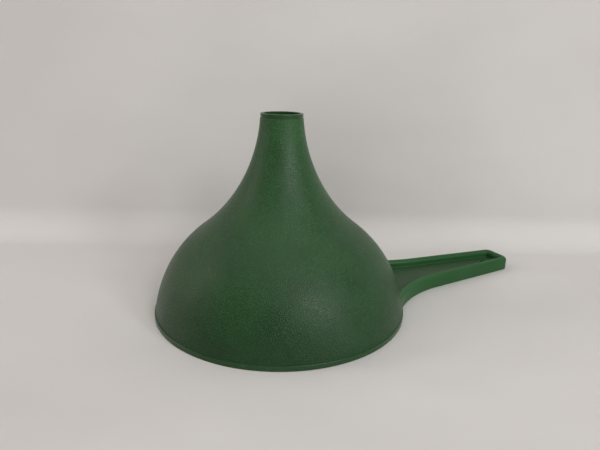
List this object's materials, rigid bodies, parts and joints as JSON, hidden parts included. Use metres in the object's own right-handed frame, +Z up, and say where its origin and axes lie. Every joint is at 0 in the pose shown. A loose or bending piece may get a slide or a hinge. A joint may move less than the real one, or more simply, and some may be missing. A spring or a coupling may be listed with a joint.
{
  "type": "household funnel",
  "caption": "Domed pouring funnel with a short tapering spout, a beaded mouth and a flat channelled handle with a hanging hole.",
  "frame": {"origin": "centre of the mouth circle, in the plane the mouth rim and the handle's underside rest on", "axes": "+Z up the bell's axis, out through the spout; +X along the handle; +Y completes the right-handed frame"},
  "size_m": [0.213, 0.125, 0.097],
  "materials": {
    "grained_shell": "dark green, fine moulded grain",
    "plain_band": "dark green, smooth satin",
    "handle_side": "dark green, smooth satin",
    "handle_web": "greyed dark green, fine matt grain"
  },
  "bodies": {
    "root": {"bell": "grained_shell", "spout": "grained_shell", "spout_lip": "plain_band", "rim_bead": "plain_band", "handle_web": "handle_web", "handle_flare_left": "handle_side", "handle_flare_right": "handle_side", "handle_side_left": "handle_side", "handle_side_right": "handle_side", "handle_end": "handle_side"}
  },
  "joints": []
}
